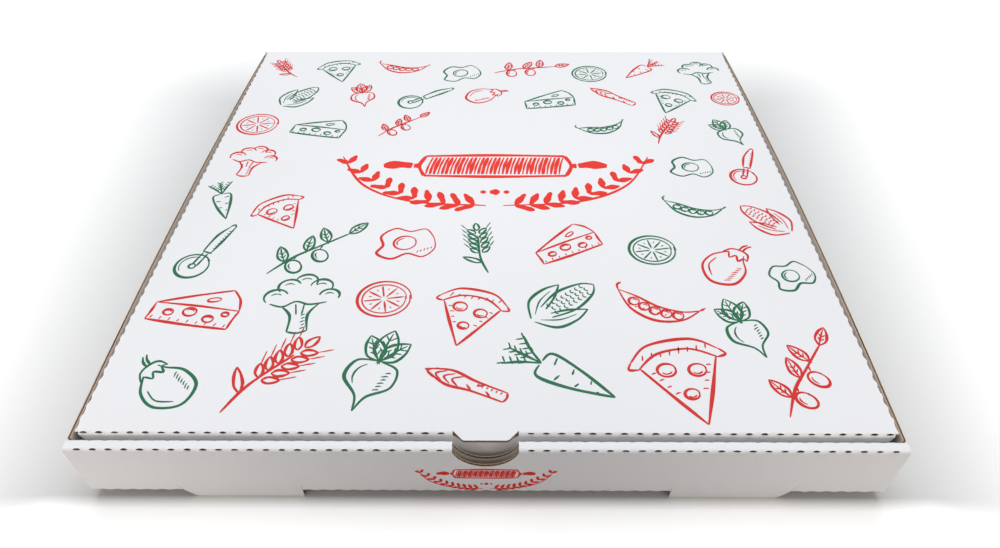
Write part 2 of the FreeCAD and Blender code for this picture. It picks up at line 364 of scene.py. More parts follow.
def build_sheet(sheet, name):
    """Closes a sheet with its inner liner and open raw edges, and makes its wavy core."""
    inner_places = Places()
    inner_of = [len(sheet.outer) + inner_places.index(p) for p in sheet.inner]
    points = sheet.outer + inner_places.points
    faces = []
    kinds = []

    def add(corners, kind):
        kept = [c for i, c in enumerate(corners) if c != corners[i - 1]]
        if len(set(kept)) > 2:
            faces.append(kept)
            kinds.append(kind)

    directed = set()
    for corners in sheet.faces:
        add(corners, OUTER)
        add([inner_of[i] for i in reversed(corners)], INNER)
        directed.update(zip(corners, corners[1:] + corners[:1]))
    rim = sorted((a, b) for a, b in directed if (b, a) not in directed)
    raw = []
    for a, b in rim:
        in_cut = a in sheet.cut and b in sheet.cut
        if in_cut or (a in sheet.parted and b in sheet.parted):
            edge = sheet.outer[a] - sheet.outer[b]
            # Cut walls that face down get the near-black colour as painted shade; those facing up keep
            # the cream edge colour
            facing_up = edge.cross(sheet.inner[a] - sheet.outer[a]).z > 0
            kind = (OUTER_EDGE if facing_up else SHADED_SLIT) if in_cut else OUTER
            add([b, a, inner_of[a], inner_of[b]], kind)
        else:
            raw.append((a, b))
    inward = raw_edge_directions(sheet, raw)
    steps = {a: [a, *recess_steps(sheet, a, inward[a], points), inner_of[a]] for a in inward}
    # The recess faces between the liners take the darker brown of painted shade
    for a, b in raw:
        for row, kind in enumerate((OUTER_EDGE, SHADED_RECESS, SHADED_RECESS, SHADED_RECESS, INNER_EDGE)):
            add([steps[b][row], steps[a][row], steps[a][row + 1], steps[b][row + 1]], kind)
    shell = mesh_piece(name + "_board", points, faces, board_materials, kinds, smooth=38)
    core = wavy_core(sheet, raw, inward, name)
    return shell, core


def recess_steps(sheet, index, way, points):
    """Adds the four corners of the open recess at one point of a raw edge."""
    outer, through = sheet.outer[index], sheet.inner[index] - sheet.outer[index]
    share = liner / board
    back = way * edge_recess
    first = len(points)
    points += [outer + through * share, outer + through * share + back,
               outer + through * (1 - share) + back, outer + through * (1 - share)]
    return range(first, first + 4)


def raw_edge_directions(sheet, raw):
    """For each point on a raw edge, the way into the board, lengthened at corners."""
    ways = {}
    for a, b in raw:
        along = sheet.outer[b] - sheet.outer[a]
        away = sheet.outer[a] - sheet.inner[a] + sheet.outer[b] - sheet.inner[b]
        way = away.cross(along).normalized()
        ways.setdefault(a, []).append(way)
        ways.setdefault(b, []).append(way)
    inward = {}
    for a, found in ways.items():
        mean = sum(found, Vector()).normalized()
        depth = hinge_recess if a in sheet.parted else 1
        inward[a] = mean * (depth / max(mean.dot(found[0]), 0.6))
    return inward


def wavy_core(sheet, raw, inward, name):
    """The wavy sheet between the liners, as far as raw edges show it."""
    points = []
    faces = []
    ends = {}
    reach = (board - 2 * liner - medium) / 2 - 0.02

    def station(a, b, share):
        outer = sheet.outer[a].lerp(sheet.outer[b], share)
        through = (sheet.inner[a].lerp(sheet.inner[b], share) - outer)
        across = sheet.across[a] + (sheet.across[b] - sheet.across[a]) * share
        way = inward[a].lerp(inward[b], share)
        wander = 0.9 * math.sin(outer.y * 0.05) + 0.7 * math.sin(outer.y * 0.017 + outer.z * 0.2)
        wave = math.cos(2 * math.pi * across / flute_pitch + wander)
        thick = through.normalized()
        middle = outer + through / 2 + thick * (reach * wave)
        first = len(points)
        for depth, side in ((medium_start, -1), (edge_recess, -1), (edge_recess, 1), (medium_start, 1)):
            points.append(middle + way * depth + thick * (side * medium / 2))
        return first

    for a, b in raw:
        change = abs(sheet.across[b] - sheet.across[a])
        length = (sheet.outer[b] - sheet.outer[a]).length
        count = max(1, math.ceil(change / (flute_pitch / 7)), math.ceil(length / 6))
        row = []
        for step in range(count + 1):
            corner = {0: a, count: b}.get(step)
            if corner is None:
                row.append(station(a, b, step / count))
            else:
                if corner not in ends:
                    ends[corner] = station(a, b, step / count)
                row.append(ends[corner])
        for p, q in zip(row, row[1:]):
            for side in range(4):
                after = (side + 1) % 4
                faces.append([p + side, p + after, q + after, q + side])
    return mesh_piece(name + "_fluting", points, faces, [flute_paper], smooth=60)


def swell(share):
    """Bow of a long edge: 0 at its ends and 1 in the middle."""
    return 1 - share ** 2


def along(lines, second):
    """Flat points at a fold's lines, all with the same second value."""
    return [(line[0], second) for line in lines]


def stretch(a, b, step=8.0):
    """Points from a to b, both left out of the count at b, close enough to follow a bow."""
    count = max(1, math.ceil(math.dist(a, b) / step))
    return [tuple(p + (q - p) * i / count for p, q in zip(a, b)) for i in range(count)]


# Tray
def side_wall_x(y, z):
    height = min(max((z - floor_z) / (ledge_z - floor_z), 0), 1)
    return half_width + side_bow * height * swell(y / wall_end)


def add_tray_side(sheet, side, lines):
    """A side wall with its bottom fold and the ears at its two ends; side is 1 or -1."""
    def up_the_wall(point):
        return point.z + abs(point.x)

    def wall_place(y, z):
        x = side_wall_x(y, z)
        return (side * x, y, z), (side * (x - board), y, z)

    fold(sheet, lines, lambda y: (side * half_width, y, base_z), DOWN, (side, 0, 0), up_the_wall)
    low = floor_z + ply_gap
    front_end = inner_wall_y + ply_gap
    outline = along(lines, floor_z)
    outline += [(wall_end, low), (wall_end, ear_top)]
    outline += stretch((wall_end, ledge_z), (front_end, ledge_z))
    outline += [(front_end, ledge_z), (front_end, ear_top), (-wall_end, ear_top), (-wall_end, low)]
    panel(sheet, outline, wall_place, up_the_wall)
    for end in (-1, 1):
        heights = fold_lines(low, ear_top, [], 1)
        fold(sheet, heights, lambda z: (side * half_width, end * ear_y, z), (side, 0, 0),
             (0, end, 0), up_the_wall)
        tip = half_width - ear_length
        ear = [(half_width - board, low), (half_width - board, ear_top),
               (tip, ear_top), (tip + ear_taper, low)]
        panel(sheet, ear, lambda x, z: ((side * x, end * ear_y, z),
                                        (side * x, end * (ear_y - board), z)),
              lambda point: point.z + half_width)


def notch_curve(top):
    """The thumb notch's arc from right to left, below the level of the ledge's inner face."""
    depth = notch_depth - board
    radius = (notch_half ** 2 + depth ** 2) / (2 * depth)
    half_turn = math.asin(notch_half / radius)
    points = []
    for step in range(1, 2 * notch_steps):
        turn = half_turn * (1 - step / notch_steps)
        points.append((radius * math.sin(turn), top - depth + radius * (1 - math.cos(turn))))
    return points


def add_tray_front(sheet, bottom_lines, ledge_lines):
    """Outer wall with its lips, ledge, and inner wall with its locking tabs."""
    wall_y = -half_depth
    for lines in bottom_lines:
        fold(sheet, lines, lambda x: (x, wall_y, base_z), DOWN, FORWARD)
    for lines in ledge_lines:
        fold(sheet, lines, lambda x: (x, wall_y, ledge_z), FORWARD, UP)
        fold(sheet, lines, lambda x: (x, inner_wall_y, ledge_z), UP, BACK)
        ledge = along(lines, wall_y + board) + along(lines[::-1], inner_wall_y - board)
        panel(sheet, ledge, level(ledge_z, -1))
    top = ledge_z - board
    left, right = ledge_lines
    rim = along(right[::-1], top) + notch_curve(top) + along(left[::-1], top)
    nick_top = base_z + nick_height
    lip = [(lip_inner - nick_width, nick_top), (lip_inner, nick_top), (lip_inner, 0),
           (lip_outer - lip_slant - 1.2, 0), (lip_outer - lip_slant + 0.4, 0.5),
           (lip_outer - 0.6, base_z - 0.4), (lip_outer + 0.1, base_z + 0.5),
           (lip_outer + nick_lean, nick_top), (lip_outer + nick_width + nick_lean, nick_top)]
    mirrored = [(-x, z) for x, z in reversed(lip)]
    low_left, low_middle, low_right = [along(lines, floor_z) for lines in bottom_lines]
    outer_wall = low_left + mirrored + low_middle + lip + low_right + rim
    panel(sheet, outer_wall, upright(wall_y, 1))
    low = floor_z + ply_gap
    tab_left = lip_inner + tab_play
    tab_right = lip_outer - lip_slant - tab_play
    tab = [(tab_left, low), (tab_left, tab_rise + tab_chamfer), (tab_left + tab_chamfer, tab_rise),
           (tab_right - tab_chamfer, tab_rise), (tab_right, tab_rise + tab_chamfer),
           (tab_right, low)]
    reach = inner_half_width
    inner_wall = [(-reach, low)] + [(-x, z) for x, z in reversed(tab)] + tab + [(reach, low)]
    inner_wall += [(reach, top)] + [p for p in rim if abs(p[0]) < reach] + [(-reach, top)]
    panel(sheet, inner_wall, upright(inner_wall_y, -1))


def add_tray_bottom(sheet, front_lines, rear_lines, side_lines):
    """Bottom panel with the slots that its lips leave."""
    side_x = half_width - board
    slot = [(lip_inner, slot_rear_y), (lip_outer - lip_slant, slot_rear_y)]

    def between_sides(lines, y):
        return [p for p in along(lines, y) if abs(p[0]) < side_x + 0.01]

    left, middle, right = [between_sides(lines, -half_depth + board) for lines in front_lines]
    outline = left + [(-x, y) for x, y in reversed(slot)] + middle + slot + right
    outline += [(side_x, line[0]) for line in side_lines]
    outline += between_sides(rear_lines[::-1], half_depth - board)
    outline += [(-side_x, line[0]) for line in side_lines[::-1]]
    panel(sheet, outline, level(base_z, 1))


def add_tray_rear(sheet, bottom_lines, hinge_lines):
    """Rear wall with the lower half of the fold that carries the lid."""
    fold(sheet, bottom_lines, lambda x: (x, half_depth, base_z), DOWN, BACK)
    fold(sheet, hinge_lines, lambda x: (x, half_depth - fold_drop / 2, lid_z - fold_drop), BACK, UP,
         last=0)
    outline = along(bottom_lines, floor_z) + along(hinge_lines[::-1], lid_z - board - fold_drop)
    panel(sheet, outline, upright(half_depth, -1))


def make_tray():
    sheet = Sheet()
    side_x = half_width - board
    cuts = cut_places(cut_pitch / 2, half_width)
    bottom_lines = [
        fold_lines(-half_width, -beside_lip,
                   [c for c in cuts if c < -beside_lip - lip_cut_margin], 11, [-side_x]),
        fold_lines(-lip_inner + nick_width, lip_inner - nick_width,
                   [c for c in cuts if abs(c) < lip_inner - lip_cut_margin], 12),
        fold_lines(beside_lip, half_width,
                   [c for c in cuts if c > beside_lip + lip_cut_margin], 13, [side_x])]
    ledge_cuts = cut_places(notch_to_cut, half_width)
    ledge_lines = [
        fold_lines(-half_width, -notch_half, [c for c in ledge_cuts if c < 0], 14,
                   [-inner_half_width]),
        fold_lines(notch_half, half_width, [c for c in ledge_cuts if c > 0], 15,
                   [inner_half_width])]
    side_lines = fold_lines(-wall_end, wall_end, cut_places(cut_pitch / 2, wall_end), 16)
    rear_lines = fold_lines(-half_width, half_width, cuts, 17, [-side_x, side_x])
    hinge_lines = fold_lines(-half_width, half_width, cuts, 18)
    add_tray_bottom(sheet, bottom_lines, rear_lines, side_lines)
    add_tray_front(sheet, bottom_lines, ledge_lines)
    add_tray_rear(sheet, rear_lines, hinge_lines)
    for side in (-1, 1):
        add_tray_side(sheet, side, side_lines)
    return build_sheet(sheet, "tray")


# Lid
def lid_edge_x(y):
    """Half width of the lid at a place along its side folds, which bow outwards."""
    return lid_half_width + lid_bow * swell(min(abs(y) / fold_y, 1))


def add_lid_side(sheet, side, lines):
    def down_the_flap(point):
        return abs(point.x) - point.z

    def flap_place(y, z):
        share = (z - flap_bottom) / (lid_z - flap_bottom)
        x = lid_half_width + (lid_edge_x(y) - lid_half_width) * share
        return (side * x, y, z), (side * (x - board), y, z)

    fold(sheet, lines, lambda y: (side * lid_edge_x(y), y, lid_z), UP, (side, 0, 0),
         down_the_flap, reach=side_cut_reach)
    front_end = (lines[0][0] + side_flap_taper, flap_bottom)
    rear_end = (lines[-1][0] - side_flap_taper, flap_bottom)
    outline = along(lines, lid_z - board) + stretch(rear_end, front_end) + [front_end]
    panel(sheet, outline, flap_place, down_the_flap)


def add_lid_front(sheet, lines_left, lines_right):
    """Front fold on both sides of the thumb tab, and the front tuck flap."""
    for lines in (lines_left, lines_right):
        fold(sheet, lines, lambda x: (x, lid_front_y, lid_z), UP, FORWARD)
    top = lid_z - board
    tab_low = lid_z - thumb_tab_length - board
    end_x = front_reach - front_flap_taper
    outline = along(lines_left, top) + [(-thumb_tab_tip, tab_low), (thumb_tab_tip, tab_low)]
    outline += along(lines_right, top) + [(end_x, flap_bottom), (-end_x, flap_bottom)]
    panel(sheet, outline, upright(lid_front_y, 1))


def add_lid_top(sheet, front_left, front_right, side_lines, rear_lines):
    """Top panel with the thumb tab and the flat corners between its folds."""
    panel_front = lid_front_y + board
    corner_x = lid_edge_x(lid_front_y) - corner_round
    corner_y = lid_front_y + corner_round
    rear_x = abs(rear_lines[0][0])
    front_y, rear_y = side_lines[0][0], side_lines[-1][0]
    side = [(lid_edge_x(line[0]) - board, line[0]) for line in side_lines]
    tab = [(-thumb_tab_tip - 0.5, lid_low.y + 0.5), (-thumb_tab_tip + 0.4, lid_low.y),
           (thumb_tab_tip - 0.4, lid_low.y), (thumb_tab_tip + 0.5, lid_low.y + 0.5)]
    outline = [(-front_reach, corner_y)] + along(front_left, panel_front) + tab
    outline += along(front_right, panel_front)
    outline += [(front_reach, corner_y), (corner_x, corner_y), (corner_x, front_y)]
    outline += side + [(rear_x, rear_y)]
    outline += along(rear_lines[::-1], fold_y) + [(-rear_x, rear_y)]
    outline += [(-x, y) for x, y in reversed(side)]
    outline += [(-corner_x, front_y), (-corner_x, corner_y)]
    panel(sheet, outline, level(lid_z, -1))


def make_lid():
    sheet = Sheet()
    front_cuts = cut_places(notch_to_cut, front_reach)
    left = fold_lines(-front_reach, -notch_half, [c for c in front_cuts if c < 0], 21)
    right = fold_lines(notch_half, front_reach, [c for c in front_cuts if c > 0], 22)
    start = lid_front_y + flap_start
    cuts = [c for c in cut_places(cut_pitch / 2, fold_y) if start + 2 < c < flap_end_y - 2]
    side_lines = fold_lines(start, flap_end_y, cuts, 23, range(-144, 145, 12))
    rear_reach = lid_half_width - corner_round
    rear_lines = fold_lines(-rear_reach, rear_reach, cut_places(cut_pitch / 2, half_width), 18)
    add_lid_top(sheet, left, right, side_lines, rear_lines)
    add_lid_front(sheet, left, right)
    for side in (-1, 1):
        add_lid_side(sheet, side, side_lines)
    fold(sheet, rear_lines, lambda x: (x, half_depth - fold_drop, lid_z), UP, BACK, last=0)
    return build_sheet(sheet, "lid")


tray_shell, tray_core = make_tray()
lid_shell, lid_core = make_lid()
for piece, body in ((tray_shell, "tray"), (tray_core, "tray"), (lid_shell, "lid"),
                    (lid_core, "lid")):
    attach(piece, body)
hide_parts("tray")
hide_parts("lid")


# Print
ink_thickness = 0.05
ink_layer = 0.002       # strokes that cross differ this much in height
ink_layers = 23
pen_width = 1.05
curve_step = 1.1
motif_weight = (0.62, 0.026)    # pen's weight for a motif, and what its size adds
lid_ornament = (2.0, 14.0, 90)  # place and size
front_ornament = (0.0, base_z + 11.0, 28)
front_weight = 0.36


class Ink:
    """Thin raised ribbons; place(x, y, height) puts a flat point on the board."""

    def __init__(self, place):
        self.place = place
        self.points = []
        self.faces = []
        self.count = 0

    def ribbon(self, line, widths):
        """A closed strip of ink along a line of flat points."""
        low = -ink_thickness / 2
        high = ink_thickness / 2 + (self.count % ink_layers) * ink_layer
        self.count += 1
        first = len(self.points)
        last = len(line) - 1
        for i, point in enumerate(line):
            way = (line[min(i + 1, last)] - line[max(i - 1, 0)]).normalized()
            side = Vector((-way.y, way.x)) * (widths[i] / 2)
            for edge, height in ((side, high), (side, low), (-side, low), (-side, high)):
                self.points.append(self.place(*(point + edge), height))
        for i in range(last):
            a = first + 4 * i
            for corner in range(4):
                after = (corner + 1) % 4
                self.faces.append([a + corner, a + corner + 4, a + after + 4, a + after])
        self.faces.append([first, first + 1, first + 2, first + 3])
        end = first + 4 * last
        self.faces.append([end + 3, end + 2, end + 1, end])

    def piece(self, name, body, material):
        made = mesh_piece(name, self.points, self.faces, [material])
        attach(made, body)


def turned(degrees):
    """Cosine and sine of a turn."""
    return math.cos(math.radians(degrees)), math.sin(math.radians(degrees))


def smooth_line(points, step):
    """Points close together on a smooth curve through a few points."""
    line = []
    last = len(points) - 1
    for i in range(last):
        before = points[max(i - 1, 0)]
        a, b = points[i], points[i + 1]
        after = points[min(i + 2, last)]
        count = max(2, math.ceil((b - a).length / step))
        for j in range(count):
            t = j / count
            line.append(0.5 * (2 * a + (b - before) * t
                               + (2 * before - 5 * a + 4 * b - after) * t ** 2
                               + (3 * a - before - 3 * b + after) * t ** 3))
    return line + [points[-1]]


class Pen:
    """Draws one motif, whose own size runs from -1 to 1, at its place on the board."""

    def __init__(self, ink, x, y, size, turn, rng, weight=1.0):
        self.ink = ink
        self.origin = Vector((x, y))
        self.size = size
        self.turn = turned(turn)
        self.rng = rng
        self.weight = pen_width * weight

    def at(self, x, y):
        c, s = self.turn
        return self.origin + Vector((x * c - y * s, x * s + y * c)) * self.size

    def curve(self, *points, width=1.0, ends=0.35):
        """A stroke that swells in the middle and thins out to its ends."""
        step = min(curve_step, self.size / 8)
        line = smooth_line([self.at(*p) for p in points], step)
        wave = self.rng.uniform(0, 6)
        widths = []
        for i in range(len(line)):
            share = i / (len(line) - 1)
            swelling = ends + (1 - ends) * math.sin(math.pi * share) ** 0.6
            widths.append(self.weight * width * swelling * (1 + 0.16 * math.sin(wave + 9 * share)))
        self.ink.ribbon(line, widths)

    def oval(self, x, y, rx, ry, start=0, sweep=360, tilt=0, width=1.0):
        """A hand-drawn oval or part of one, whose ends overrun a little where it closes."""
        sweep += 14 * (sweep == 360)
        count = max(4, int(abs(sweep) / 24))
        c, s = turned(tilt)
        points = []
        for i in range(count + 1):
            right, up = turned(start + sweep * i / count)
            drift = 1 - 0.05 * i / count
            px, py = rx * right * drift, ry * up * drift
            points.append((x + px * c - py * s, y + px * s + py * c))
        self.curve(*points, width=width)

    def leaf(self, x, y, turn, length, spread, veins=3):
        """A pointed leaf with its rib and a few veins."""
        c, s = turned(turn)

        def out(a, b):
            return x + (a * c - b * s) * length, y + (a * s + b * c) * length

        for side in (-1, 1):
            self.curve(out(0, 0), out(0.3, side * spread), out(0.7, side * spread * 0.8), out(1, 0))
            for i in range(veins):
                foot = 0.25 + 0.2 * i
                self.curve(out(foot, 0), out(foot + 0.16, side * spread * 0.6), width=0.55)
        if veins:
            self.curve(out(-0.1, 0), out(0.5, 0.02), out(0.9, 0), width=0.7)

    def hatch(self, x0, y0, x1, y1, dx, dy, count, width=0.55):
        """Short even strokes, each (dx, dy) long, from one place to another."""
        for i in range(count):
            share = i / max(count - 1, 1)
            x, y = x0 + (x1 - x0) * share, y0 + (y1 - y0) * share
            reach = self.rng.uniform(0.75, 1.1)
            self.curve((x, y), (x + dx * reach * 0.5, y + dy * reach * 0.5 + 0.01),
                       (x + dx * reach, y + dy * reach), width=width)


def slice_of_pizza(pen):
    pen.curve((-0.82, 0.5), (-0.4, 0.82), (0.4, 0.82), (0.82, 0.5), width=1.2)
    pen.curve((-0.74, 0.32), (-0.3, 0.6), (0.3, 0.6), (0.74, 0.32))
    for side in (-1, 1):
        pen.curve((side * 0.82, 0.5), (side * 0.9, 0.36), (side * 0.72, 0.32))
        pen.curve((side * 0.7, 0.33), (side * 0.34, -0.36), (0, -0.98), width=1.2)
        pen.hatch(side * 0.55, 0.18, side * 0.3, -0.3, -side * 0.1, 0.02, 4)
    for x, y, r in ((-0.26, 0.22, 0.17), (0.27, 0.12, 0.16), (-0.02, -0.35, 0.13)):
        pen.oval(x, y, r, r * 0.85)
        pen.oval(x, y, r * 0.6, r * 0.5, 200, 130, width=0.6)
    pen.hatch(-0.6, 0.5, 0.6, 0.55, 0.05, 0.14, 8)


def cheese(pen):
    pen.curve((-0.95, -0.02), (-0.2, 0.34), (0.55, 0.66), width=1.2)
    pen.curve((0.55, 0.66), (0.8, 0.42), (0.93, 0.1))
    pen.curve((-0.95, -0.02), (0, 0.06), (0.93, 0.1))
    pen.curve((-0.95, -0.02), (-0.93, -0.3), (-0.94, -0.52))
    pen.curve((-0.94, -0.52), (0, -0.5), (0.9, -0.44), width=1.3)
    pen.curve((0.93, 0.1), (0.9, -0.2), (0.9, -0.44))
    for x, y, r in ((-0.55, -0.24, 0.11), (-0.1, -0.14, 0.15), (0.38, -0.25, 0.12),
                    (0.68, -0.05, 0.08)):
        pen.oval(x, y, r, r * 0.8)
        pen.oval(x, y, r * 0.65, r * 0.5, 20, 140, width=0.6)
    pen.oval(0.25, 0.3, 0.15, 0.06, tilt=20, width=0.8)
    pen.hatch(-0.85, -0.48, 0.8, -0.41, 0.02, 0.1, 9)


def wheat(pen):
    pen.curve((0.1, -1), (-0.03, -0.4), (0, 0.45), width=1.1)
    for i in range(5):
        y = -0.22 + 0.19 * i
        for side in (-1, 1):
            pen.leaf(0.04 * side, y, 90 - side * 48, 0.3, 0.2, 0)
            pen.curve((side * 0.25, y + 0.2), (side * 0.4, y + 0.42), width=0.5)
    pen.leaf(0, 0.66, 90, 0.32, 0.22, 0)
    pen.leaf(0, -0.6, 150, 0.55, 0.12, 0)


def aubergine(pen):
    pen.curve((-0.2, 0.42), (-0.52, 0.02), (-0.55, -0.52), (-0.12, -0.94), (0.42, -0.72),
              (0.5, -0.15), (0.28, 0.25), (0.2, 0.46), width=1.25)
    pen.curve((-0.34, 0.3), (-0.2, 0.55), (0.05, 0.62), (0.28, 0.55), (0.36, 0.3))
    pen.curve((-0.34, 0.3), (-0.2, 0.38), (-0.1, 0.2), (0.02, 0.36), (0.16, 0.18), (0.24, 0.36),
              (0.36, 0.3))
    for x in (0.0, 0.1):
        pen.curve((x, 0.6), (x + 0.03, 0.8), (x + 0.12, 0.95))
    pen.curve((-0.38, -0.02), (-0.42, -0.4), (-0.18, -0.74), width=0.7)
    pen.hatch(0.36, -0.05, 0.3, -0.62, -0.14, -0.1, 7)


def carrot(pen):
    for side in (-1, 1):
        pen.curve((side * 0.05, 0.34), (side * 0.27, 0.26), (side * 0.2, -0.3), (0.02, -0.98),
                  width=1.2)
    for i in range(6):
        y = 0.16 - 0.17 * i
        side = 1 - 2 * (i % 2)
        reach = 0.23 - 0.03 * i
        pen.curve((side * reach, y), (side * reach * 0.3, y - 0.03), width=0.7)
    for turn in (62, 90, 118):
        c, s = turned(turn)
        pen.curve((0, 0.33), (c * 0.35, 0.33 + s * 0.35), (c * 0.75, 0.33 + s * 0.62))
        for i in range(4):
            x, y = c * (0.25 + 0.13 * i), 0.33 + s * (0.25 + 0.11 * i)
            for side in (-1, 1):
                pen.curve((x, y), (x + side * 0.09, y + 0.1), width=0.6)


def pea_pod(pen):
    pen.curve((-0.95, 0.16), (-0.5, -0.3), (0.1, -0.44), (0.65, -0.2), (0.95, 0.25), width=1.2)
    pen.curve((-0.95, 0.16), (-0.5, 0.12), (0.05, 0.0), (0.6, 0.06), (0.95, 0.25))
    for i in range(5):
        x = -0.5 + 0.26 * i
        y = -0.06 - 0.1 * math.sin(i * 0.7)
        pen.oval(x, y, 0.12, 0.12)
        pen.oval(x, y, 0.07, 0.07, 30, 110, width=0.55)
    pen.curve((-0.95, 0.16), (-1.02, 0.3), (-0.96, 0.42))
    pen.curve((0.95, 0.25), (1.04, 0.38))
    pen.hatch(-0.6, -0.24, 0.6, -0.2, 0.06, 0.06, 8)


def corn(pen):
    for side in (-1, 1):
        pen.curve((side * 0.2, -0.5), (side * 0.34, 0.1), (side * 0.22, 0.7), (0, 0.95), width=1.1)
        pen.curve((side * 0.06, -0.9), (side * 0.5, -0.6), (side * 0.6, -0.1), (side * 0.5, 0.3),
                  width=1.2)
        pen.curve((side * 0.5, 0.3), (side * 0.25, -0.05), (side * 0.08, -0.45))
        pen.curve((side * 0.1, -0.75), (side * 0.36, -0.4), (side * 0.46, 0), width=0.6)
    for row in range(8):
        for column in (-1, 0, 1):
            y = -0.3 + 0.14 * row
            pen.oval(column * 0.14, y + 0.03 * (column == 0), 0.055, 0.045, 180, 190, width=0.6)


def broccoli(pen):
    for x, y, r in ((-0.58, 0.2, 0.28), (-0.3, 0.52, 0.27), (0.08, 0.66, 0.27), (0.44, 0.46, 0.27),
                    (0.64, 0.14, 0.24)):
        pen.oval(x, y, r, r * 0.9, -30 + 50 * (x < 0), 200, width=1.15)
        pen.oval(x, y, r * 0.5, r * 0.4, 30, 120, width=0.6)
    pen.curve((-0.7, 0.0), (-0.4, -0.12), (-0.1, 0.02), (0.2, -0.1), (0.6, -0.06))
    for side in (-1, 1):
        pen.curve((side * 0.42, -0.1), (side * 0.2, -0.42), (side * 0.22, -0.9), width=1.1)
        pen.curve((side * 0.1, -0.06), (side * 0.06, -0.4), width=0.7)
    pen.curve((-0.22, -0.9), (0, -0.96), (0.22, -0.9))
    pen.hatch(0.14, -0.4, 0.16, -0.8, -0.1, -0.04, 5)


def radish(pen):
    pen.curve((-0.06, 0.2), (-0.42, 0.1), (-0.48, -0.32), (-0.1, -0.66), (0.02, -1.0), width=1.2)
    pen.curve((0.06, 0.2), (0.42, 0.1), (0.46, -0.32), (0.12, -0.64), (0.02, -1.0))
    pen.oval(-0.02, -0.22, 0.32, 0.34, 120, 100, width=0.7)
    pen.hatch(0.34, 0.0, 0.28, -0.42, -0.13, -0.05, 6)
    for turn, length in ((55, 0.72), (92, 0.82), (128, 0.7)):
        pen.leaf(0, 0.2, turn, length, 0.26)


def fried_egg(pen):
    pen.curve((0.9, 0.1), (0.7, 0.55), (0.2, 0.52), (-0.25, 0.74), (-0.72, 0.45), (-0.7, 0.0),
              (-0.92, -0.35), (-0.5, -0.66), (0.0, -0.5), (0.45, -0.72), (0.86, -0.4), (0.9, 0.12),
              width=1.2)
    pen.oval(-0.02, 0.0, 0.36, 0.32)
    pen.oval(-0.02, 0.0, 0.26, 0.22, 90, 110, width=0.7)
    pen.hatch(0.3, -0.52, 0.74, -0.4, 0.05, 0.1, 5)


def lemon(pen):
    pen.oval(0, 0, 0.9, 0.82, width=1.25)
    pen.oval(0, 0, 0.74, 0.66, width=0.8)
    for i in range(8):
        c, s = turned(45 * i + 10)
        pen.curve((0.1 * c, 0.1 * s), (0.66 * c, 0.6 * s), width=0.9)
        c, s = turned(45 * i + 32)
        pen.curve((0.42 * c, 0.4 * s), (0.54 * c, 0.5 * s), width=0.6)


def cutter(pen):
    pen.oval(-0.45, -0.3, 0.46, 0.46, width=1.25)
    pen.oval(-0.45, -0.3, 0.36, 0.36, 40, 150, width=0.6)
    pen.oval(-0.45, -0.3, 0.09, 0.09)
    for shift in (-0.05, 0.05):
        pen.curve((-0.4 + shift, -0.3 - shift), (-0.05 + shift, 0.08 - shift))
        pen.curve((0.0 + 1.7 * shift, 0.12 - 1.7 * shift), (0.45 + 2 * shift, 0.6 - 2 * shift),
                  (0.82 + shift, 0.9 - shift), width=1.2)
    pen.curve((0.76, 0.96), (0.9, 0.98), (0.88, 0.84))
    pen.curve((-0.1, 0.2), (0.1, 0.0))
    pen.hatch(0.16, 0.2, 0.68, 0.76, 0.07, -0.06, 8)


def olive_twig(pen):
    pen.curve((-1, -0.5), (-0.4, -0.12), (0.2, 0.1), (0.9, 0.35), width=1.1)
    for x, y, turn in ((-0.6, -0.22, 95), (-0.1, 0.0, 70), (0.4, 0.18, 95), (0.9, 0.35, 30)):
        pen.leaf(x, y, turn, 0.55, 0.2, 2)
    for x, y in ((-0.42, -0.42), (0.18, -0.22)):
        pen.oval(x, y, 0.17, 0.22, tilt=20, width=1.1)
        pen.oval(x, y, 0.1, 0.14, 100, 100, tilt=20, width=0.6)
        pen.curve((x + 0.02, y + 0.22), (x + 0.1, y + 0.34), width=0.7)


def asparagus(pen):
    for side in (-1, 1):
        pen.curve((side * 0.13, -0.95), (side * 0.14, -0.2), (side * 0.2, 0.4), (0, 0.98), width=1.1)
    for i in range(4):
        y = 0.1 + 0.2 * i
        pen.curve((-0.15, y), (-0.02, y + 0.2), (0.14, y), width=0.8)
    for side, y in ((-1, -0.2), (1, -0.42), (-1, -0.66)):
        pen.curve((side * 0.12, y), (side * 0.02, y + 0.16), width=0.8)
    pen.curve((-0.13, -0.95), (0, -0.99), (0.13, -0.95))
    pen.hatch(0.1, -0.85, 0.1, -0.3, -0.08, 0.02, 6)


